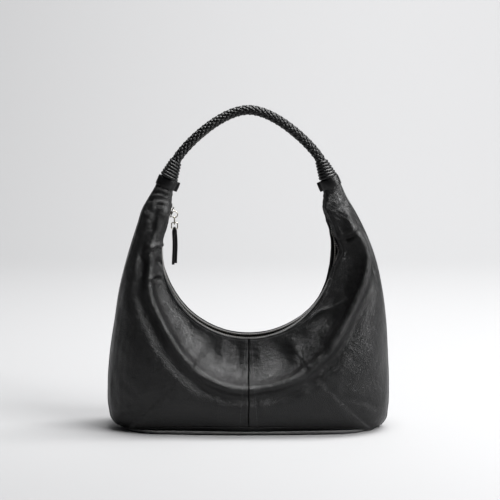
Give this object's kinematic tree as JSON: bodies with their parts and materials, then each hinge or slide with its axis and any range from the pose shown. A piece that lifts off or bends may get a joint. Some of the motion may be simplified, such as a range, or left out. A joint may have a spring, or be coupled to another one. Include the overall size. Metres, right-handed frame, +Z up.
{
  "type": "hobo bag",
  "caption": "Slouchy crescent shoulder bag of soft leather with an open curved zip mouth and a short braided handle.",
  "frame": {"origin": "on the floor, in the middle of the base", "axes": "+X to the right seen from the front, +Y to the back, +Z up; the front faces -Y"},
  "size_m": [0.3806, 0.1262, 0.4342],
  "materials": {
    "bag_leather": "semi-gloss fine grain",
    "collar_leather": "semi-gloss",
    "wrap_lace": "glossy round lace",
    "braid_leather": "glossy flat strands",
    "pull_leather": "glossy flat lace",
    "core_rope": "twisted rope",
    "board": "matt",
    "lining_cloth": "twill",
    "zip_tape": "woven tape",
    "zip_metal": "satin",
    "pull_metal": "polished"
  },
  "bodies": {
    "bag": {"front_left_panel": "bag_leather", "front_right_panel": "bag_leather", "back_left_panel": "bag_leather", "back_right_panel": "bag_leather", "base_panel": "bag_leather", "base_board": "board", "left_neck_tab": "bag_leather", "right_neck_tab": "bag_leather", "front_lining": "lining_cloth", "back_lining": "lining_cloth", "front_facing": "bag_leather", "back_facing": "bag_leather", "front_zip_tape": "zip_tape", "back_zip_tape": "zip_tape", "front_zip_teeth": "zip_metal", "back_zip_teeth": "zip_metal", "zip_bottom_stop": "zip_metal", "zip_top_stops": "zip_metal"},
    "handle": {"handle_core": "core_rope", "handle_braid": "braid_leather", "left_neck": "bag_leather", "right_neck": "bag_leather", "left_collar": "collar_leather", "right_collar": "collar_leather", "left_wrap": "wrap_lace", "right_wrap": "wrap_lace"},
    "slider": {"zip_slider": "pull_metal"},
    "puller": {"zip_puller": "pull_metal"},
    "link": {"pull_link": "pull_metal"},
    "lace": {"pull_lace": "pull_leather"}
  },
  "joints": [
    {"name": "handle_tilt", "type": "hinge", "parent": "bag", "child": "handle", "pos_m": [0, 0, 0.311], "axis": [1, 0, 0], "range_deg": [-85, 85]},
    {"name": "slider_travel", "type": "hinge", "parent": "bag", "child": "slider", "pos_m": [0, 0, 0.24], "axis": [0, -1, 0], "range_deg": [0, 233]},
    {"name": "puller_swing", "type": "hinge", "parent": "slider", "child": "puller", "pos_m": [-0.09838, 0, 0.28666], "axis": [0, -1, 0], "range_deg": [-8, 110]},
    {"name": "link_swing", "type": "hinge", "parent": "puller", "child": "link", "pos_m": [-0.09838, 0, 0.27666], "axis": [0, -1, 0], "range_deg": [-8, 45]},
    {"name": "lace_swing", "type": "hinge", "parent": "link", "child": "lace", "pos_m": [-0.09838, 0, 0.27036], "axis": [1, 0, 0], "range_deg": [-50, 50]}
  ]
}
